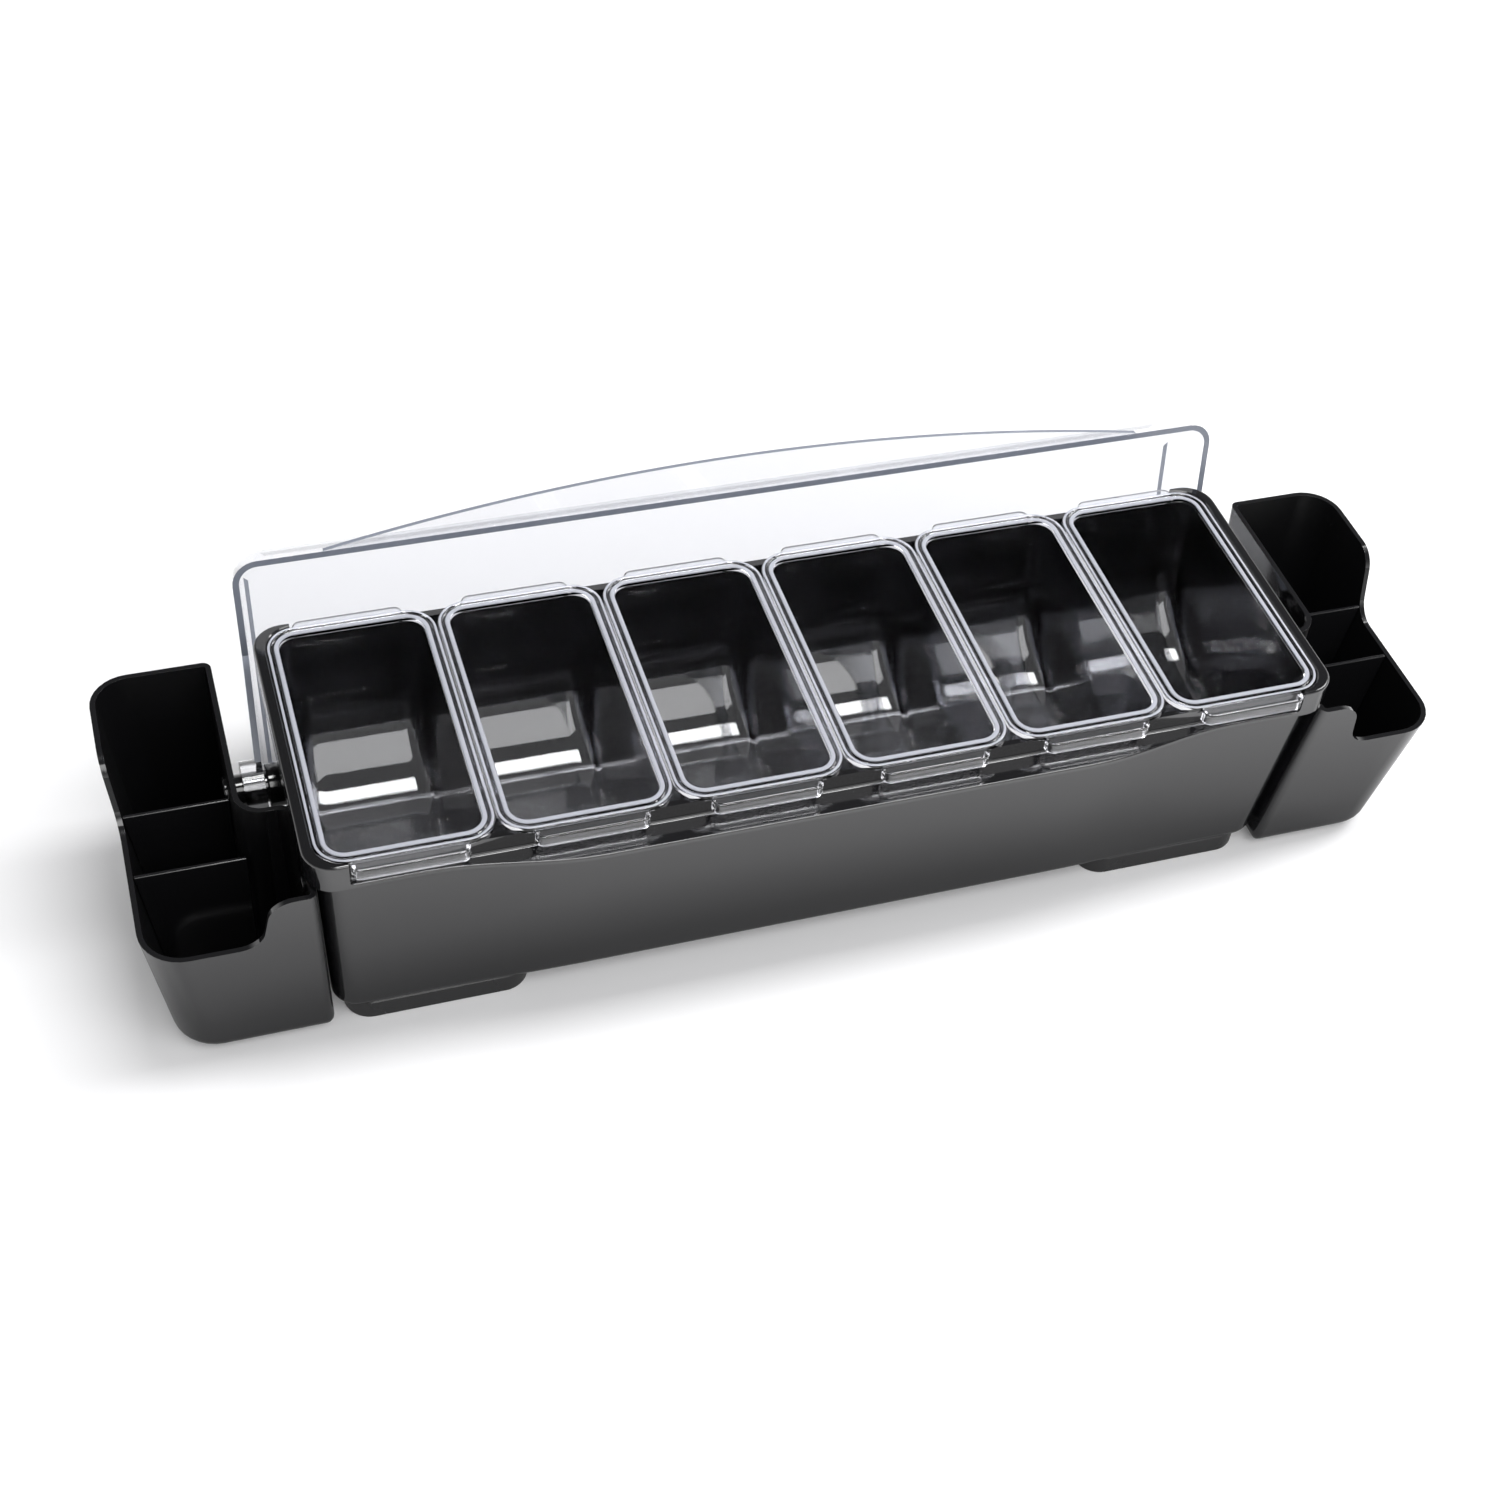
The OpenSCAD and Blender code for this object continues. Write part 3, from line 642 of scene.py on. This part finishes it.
def makeHood(s, pivot):
    y, z = pivot
    shell = combined(hoodBox(s, 0, z - 20, s["rear"] + 2),
                     [("DIFFERENCE", hoodBox(s, s["sheet"], z - 22, s["rear"] + 4))])
    far = s["pastSide"]
    upper = boxMesh((-far, -s["front"] - 10, s["mouthZ"]), (far, s["rear"], s["mouthZ"] + 50))
    arm = prismMesh([(s["armTop"][0], s["mouthZ"] + 1), (y - s["armWidth"], z),
                     (y + s["armWidth"], z), (s["armTop"][1], s["mouthZ"] + 1)], "X", -far, far)
    side = combined(upper, [("UNION", arm),
                            ("UNION", barMesh(-far - 1, far + 1, s["hubRadius"], y, z, 72))])
    bowRadius = (s["bowHalf"] ** 2 + s["bowReach"] ** 2) / (2 * s["bowReach"])
    bowAngle = math.degrees(math.asin(s["bowHalf"] / bowRadius))
    bow = prismMesh(arcPoints(0, -s["front"] - s["bowReach"] + bowRadius, bowRadius,
                              -90 - bowAngle, -90 + bowAngle, 48)
                    + [(s["bowHalf"], -s["front"] + 1.5), (-s["bowHalf"], -s["front"] + 1.5)],
                    "Z", s["mouthZ"] + s["bowSet"], s["mouthZ"] + s["bowThick"])
    hubs = [("UNION", barMesh(k * s["hubInner"], k * s["hubOuter"], s["hubRadius"], y, z, 72))
            for k in (-1, 1)]
    bm = combined(shell, [("INTERSECT", side), ("UNION", bow), *hubs,
                          ("DIFFERENCE", barMesh(-far, far, s["holeRadius"], y, z, 64))])
    tidyMesh(bm)
    bmesh.ops.rotate(bm, cent=(0, y, z), verts=bm.verts,
                     matrix=Matrix.Rotation(math.radians(-s["swing"]), 3, "X"))
    makePiece("clearHood", bm, hoodPlastic, "hood", ["hood"], 34, edge=0.6,
              second=paintedHoodEdgeReflection, chosen=lambda face: isSheetEdge(face, s, pivot))


makeHood(hoodForm, tubSet["pivot"])
print("hood made")


# ---------- side caddies ----------

caddyForm = {
    "top": 110.5, "low": 80.0, "under": 1.5, "inner": 237.8, "outer": 317.5, "halfDepth": 76.0,
    "recess": 261.5, "recessFront": -20.0, "wall": 2.5, "draft": 7.0, "innerDraft": 2.0,
    "bottomRound": 8.0, "innerRound": 5.5, "outerDrop": (32.7, 14.0, 68.0),
    "frontDrop": (247.5, 12.0, 80.0), "pinHole": 7.55, "pegHole": 3.55,
    "cellMiddle": 287.0, "pinBore": (258, 275), "pegBore": (230, 245), "outerBlock": (290, 330),
    "frontBlock": (-92, -62), "pastRim": 9, "pastRear": 90,
}


def caddyRing(bm, s, z, t):
    d = s["top"] - z
    o, n = d * math.tan(math.radians(s["draft"])), d * math.tan(math.radians(s["innerDraft"]))
    front, rear = -s["halfDepth"] + o + t, s["halfDepth"] - o - t
    small = 4 - min(t, 3)
    corners = [(s["inner"] - n + t, front, small), (s["outer"] - o - t, front, 20 - t),
               (s["outer"] - o - t, rear, 18 - t), (s["recess"] + t, rear, small),
               (s["recess"] + t, s["recessFront"] - t, 10 + t),
               (s["inner"] - n + t, s["recessFront"] - t, 9 - t)]
    return cornerRing(bm, corners, z, 8)


def caddyBody(s, t, bottom, top, r):
    bm = bmesh.new()
    rings = []
    for a in range(0, 91, 15):
        c, sn = math.cos(math.radians(a)), math.sin(math.radians(a))
        z = bottom + r * (1 - c)
        rings.append(caddyRing(bm, s, z, t + r * (1 - sn)))
    rings.append(caddyRing(bm, s, top, t))
    skinRings(bm, rings)
    return bm


# The line of a rim that drops from high to low: two arcs joined by a steep straight.
def dropLine(s, start, r, angle):
    a = math.radians(angle)
    straight = (s["top"] - s["low"] - 2 * r * (1 - math.cos(a))) / math.tan(a)
    turn = start - r * math.sin(a) - straight
    return (arcPoints(start, s["top"] - r, r, 90, 90 + angle)
            + arcPoints(turn - r * math.sin(a), s["low"] + r, r, angle - 90, -90))


# True for a face of the caddy that looks into its cells: it looks at a line up their middle. These
# faces take the darker, duller black as painted shade.
def facesInto(face, side, s):
    place = face.calc_center_median()
    if place.z > s["low"] - 2 and face.normal.z > 0.5:
        return False
    middle = Vector((side * s["cellMiddle"], max(-40, min(40, place.y)), place.z + 12))
    return face.normal.dot(middle - place) > 0


def makeCaddy(side, name, s, pivot):
    above, rear, outside = s["top"] + s["pastRim"], -s["pastRear"], s["outerBlock"][1]
    start, r, angle = s["outerDrop"]
    outerCut = prismMesh([(start + 0.3, above), *dropLine(s, start, r, angle),
                          (rear, s["low"]), (rear, above)], "X", *s["outerBlock"])
    start, r, angle = s["frontDrop"]
    line = [(-a, b) for a, b in dropLine(s, -start, r, angle)]
    frontCut = prismMesh([(start - 0.5, above), *line, (outside, s["low"]), (outside, above)],
                         "Y", *s["frontBlock"])
    body = combined(caddyBody(s, 0, s["under"], s["top"], s["bottomRound"]),
                    [("DIFFERENCE", caddyBody(s, s["wall"], s["under"] + s["wall"], s["top"] + 1,
                                              s["innerRound"])),
                     ("DIFFERENCE", outerCut), ("DIFFERENCE", frontCut),
                     ("DIFFERENCE", barMesh(*s["pinBore"], s["pinHole"], *pivot, 64)),
                     ("DIFFERENCE", barMesh(*s["pegBore"], s["pegHole"], pegSet["y"],
                                            pegSet["z"], 40))])
    tidyMesh(body)
    if side < 0:
        bmesh.ops.scale(body, vec=(-1, 1, 1), verts=body.verts)
        bmesh.ops.reverse_faces(body, faces=body.faces)
    makePiece("sideCaddy" + name, body, blackPlastic, "caddy_" + name.lower(),
              ["caddy_" + name.lower()], 34, edge=0.5, second=cellShadePlastic,
              chosen=lambda face: facesInto(face, side, s))


dividerSet = {"thick": 1.8, "rear": (12.5, 264.3, 85.0), "front": (-19.6, 261.8, 80.0),
              "floor": 4.0, "cut": 6.0, "outerAt": 314.7, "slope": 0.12278}


def makeDivider(side, name, place, s, c):
    y, x0, top = s[place]
    reach = lambda z: s["outerAt"] - s["slope"] * (c["top"] - z)
    low, cut = s["floor"], s["cut"]
    bm = prismMesh([(x0, low + cut), (x0 + cut, low), (reach(low) - cut, low),
                    (reach(low + cut), low + cut), (reach(top), top), (x0, top)],
                   "Y", y - s["thick"] / 2, y + s["thick"] / 2)
    if side < 0:
        bmesh.ops.scale(bm, vec=(-1, 1, 1), verts=bm.verts)
        bmesh.ops.reverse_faces(bm, faces=bm.faces)
    side = name.lower()
    makePiece(f"divider{name}{place.capitalize()}", bm, blackPlastic, "caddy_" + side,
              [f"divider_{side}_{place}"], 34, edge=0.5)


for side, name in ((-1, "Left"), (1, "Right")):
    makeCaddy(side, name, caddyForm, tubSet["pivot"])
    for place in ("rear", "front"):
        makeDivider(side, name, place, dividerSet, caddyForm)
print("side caddies made")


# ---------- floor, world and lamps ----------

studioSet = {
    "floorColour": (0.86, 0.86, 0.87), "floorGlow": 0.1, "worldLight": 0.45,
    "farGlow": 0.55, "glowReach": (0.4, 2.0),  # the glow grows with distance from the tub
    "shadeHalf": (0.3, 0.075), "shadeReach": 0.1, "shadeLow": 0.3,  # painted shade on the floor's colour near the tub, seen only by gloss
    "skyLow": 0.9, "skyHigh": 0.06,  # what gloss shows at the horizon and overhead
    "lamps": [  # name, place, looks at, width, height, power
        ("sideSoftbox", (1.7, 0.2, 1.5), (0, 0, 0.05), 0.9, 0.9, 16),
        ("frontSoftbox", (0.25, -1.0, 1.3), (0, 0, 0.1), 1.3, 0.9, 11),
        ("topSoftbox", (0.45, -0.07, 2.0), (0.45, -0.07, 0), 1.4, 0.45, 26),
    ],
}


# Distance over the floor from a box round the tub.
def distanceRound(tree, s):
    coords = tree.nodes.new("ShaderNodeTexCoord")
    split = tree.nodes.new("ShaderNodeSeparateXYZ")
    link(tree, coords.outputs["Object"], split.inputs["Vector"])
    sides = []
    for axis, middle, half in (("X", 0.0, s["shadeHalf"][0]), ("Y", tubMiddle, s["shadeHalf"][1])):
        away = tree.nodes.new("ShaderNodeMath")
        away.operation = "SUBTRACT"
        away.inputs[1].default_value = middle
        link(tree, split.outputs[axis], away.inputs[0])
        size = tree.nodes.new("ShaderNodeMath")
        size.operation = "ABSOLUTE"
        link(tree, away.outputs[0], size.inputs[0])
        past = tree.nodes.new("ShaderNodeMath")
        past.operation = "SUBTRACT"
        past.inputs[1].default_value = half
        link(tree, size.outputs[0], past.inputs[0])
        sides.append(past)
    far = tree.nodes.new("ShaderNodeMath")
    far.operation = "MAXIMUM"
    link(tree, sides[0].outputs[0], far.inputs[0])
    link(tree, sides[1].outputs[0], far.inputs[1])
    return far.outputs[0]


def faded(tree, value, start, end, low, high):
    fade = tree.nodes.new("ShaderNodeMapRange")
    for socket, number in (("From Min", start), ("From Max", end), ("To Min", low),
                           ("To Max", high)):
        fade.inputs[socket].default_value = number
    link(tree, value, fade.inputs["Value"])
    return fade.outputs["Result"]


def makeFloor(s):
    bm = bmesh.new()
    bmesh.ops.create_grid(bm, x_segments=1, y_segments=1, size=6)
    mesh = bpy.data.meshes.new("studioFloor")
    bm.to_mesh(mesh)
    bm.free()
    floor = bpy.data.objects.new("studioFloor", mesh)
    bpy.context.scene.collection.objects.link(floor)
    material = bpy.data.materials.new("paleFloor")
    material.use_nodes = True
    tree = material.node_tree
    shader = tree.nodes["Principled BSDF"]
    shader.inputs["Roughness"].default_value = 0.9
    shader.inputs["Specular IOR Level"].default_value = 0.1
    rays = tree.nodes.new("ShaderNodeLightPath")
    # Painted shade: glossy rays see the floor's colour darkened near the tub, while the camera
    # sees it plain.
    glossShadeTint = tree.nodes.new("ShaderNodeMix")
    glossShadeTint.data_type = "RGBA"
    glossShadeTint.blend_type = "MULTIPLY"
    glossShadeTint.inputs["A"].default_value = (*s["floorColour"], 1)
    link(tree, rays.outputs["Is Glossy Ray"], glossShadeTint.inputs["Factor"])
    away = distanceRound(tree, s)
    link(tree, faded(tree, away, 0, s["shadeReach"], s["shadeLow"], 1), glossShadeTint.inputs["B"])
    link(tree, glossShadeTint.outputs["Result"], shader.inputs["Base Color"])
    seen = tree.nodes.new("ShaderNodeMath")
    seen.operation = "MAXIMUM"
    link(tree, rays.outputs["Is Camera Ray"], seen.inputs[0])
    link(tree, rays.outputs["Is Glossy Ray"], seen.inputs[1])
    more = tree.nodes.new("ShaderNodeMath")
    more.operation = "MAXIMUM"
    link(tree, seen.outputs[0], more.inputs[0])
    link(tree, rays.outputs["Is Transmission Ray"], more.inputs[1])
    glow = tree.nodes.new("ShaderNodeMath")
    glow.operation = "MULTIPLY"
    link(tree, faded(tree, away, *s["glowReach"], s["floorGlow"], s["farGlow"]), glow.inputs[1])
    link(tree, more.outputs[0], glow.inputs[0])
    shader.inputs["Emission Color"].default_value = (1, 1, 1, 1)
    link(tree, glow.outputs[0], shader.inputs["Emission Strength"])
    mesh.materials.append(material)


# Diffuse light comes evenly from all round; gloss shows a sky that darkens overhead; the
# camera, and what is seen through clear plastic, gets plain white.
def makeWorld(s):
    world = bpy.data.worlds.new("studioWorld")
    bpy.context.scene.world = world
    world.use_nodes = True
    tree = world.node_tree
    background = tree.nodes["Background"]
    rays = tree.nodes.new("ShaderNodeLightPath")
    coords = tree.nodes.new("ShaderNodeTexCoord")
    split = tree.nodes.new("ShaderNodeSeparateXYZ")
    link(tree, coords.outputs["Generated"], split.inputs["Vector"])
    sky = tree.nodes.new("ShaderNodeMapRange")
    sky.interpolation_type = "SMOOTHSTEP"
    sky.inputs["From Min"].default_value = 0.15
    sky.inputs["From Max"].default_value = 0.65
    sky.inputs["To Min"].default_value = s["skyLow"]
    sky.inputs["To Max"].default_value = s["skyHigh"]
    link(tree, split.outputs["Z"], sky.inputs["Value"])
    gloss = tree.nodes.new("ShaderNodeMix")
    gloss.inputs["A"].default_value = s["worldLight"]
    link(tree, rays.outputs["Is Glossy Ray"], gloss.inputs["Factor"])
    link(tree, sky.outputs["Result"], gloss.inputs["B"])
    seen = tree.nodes.new("ShaderNodeMath")
    seen.operation = "MAXIMUM"
    link(tree, rays.outputs["Is Camera Ray"], seen.inputs[0])
    link(tree, rays.outputs["Is Transmission Ray"], seen.inputs[1])
    strength = tree.nodes.new("ShaderNodeMix")
    strength.inputs["B"].default_value = 1.0
    link(tree, seen.outputs[0], strength.inputs["Factor"])
    link(tree, gloss.outputs["Result"], strength.inputs["A"])
    background.inputs["Color"].default_value = (1, 1, 1, 1)
    link(tree, strength.outputs["Result"], background.inputs["Strength"])


def makeLamps(s):
    for name, place, target, width, height, power in s["lamps"]:
        data = bpy.data.lights.new(name, "AREA")
        data.shape = "RECTANGLE"
        data.size, data.size_y, data.energy = width, height, power
        lamp = bpy.data.objects.new(name, data)
        lamp.location = place
        aim = Vector(target) - Vector(place)
        lamp.rotation_euler = aim.to_track_quat("-Z", "Y").to_euler()
        bpy.context.scene.collection.objects.link(lamp)


makeFloor(studioSet)
makeWorld(studioSet)
makeLamps(studioSet)
bpy.context.scene.view_settings.view_transform = "Standard"
print("studio made")
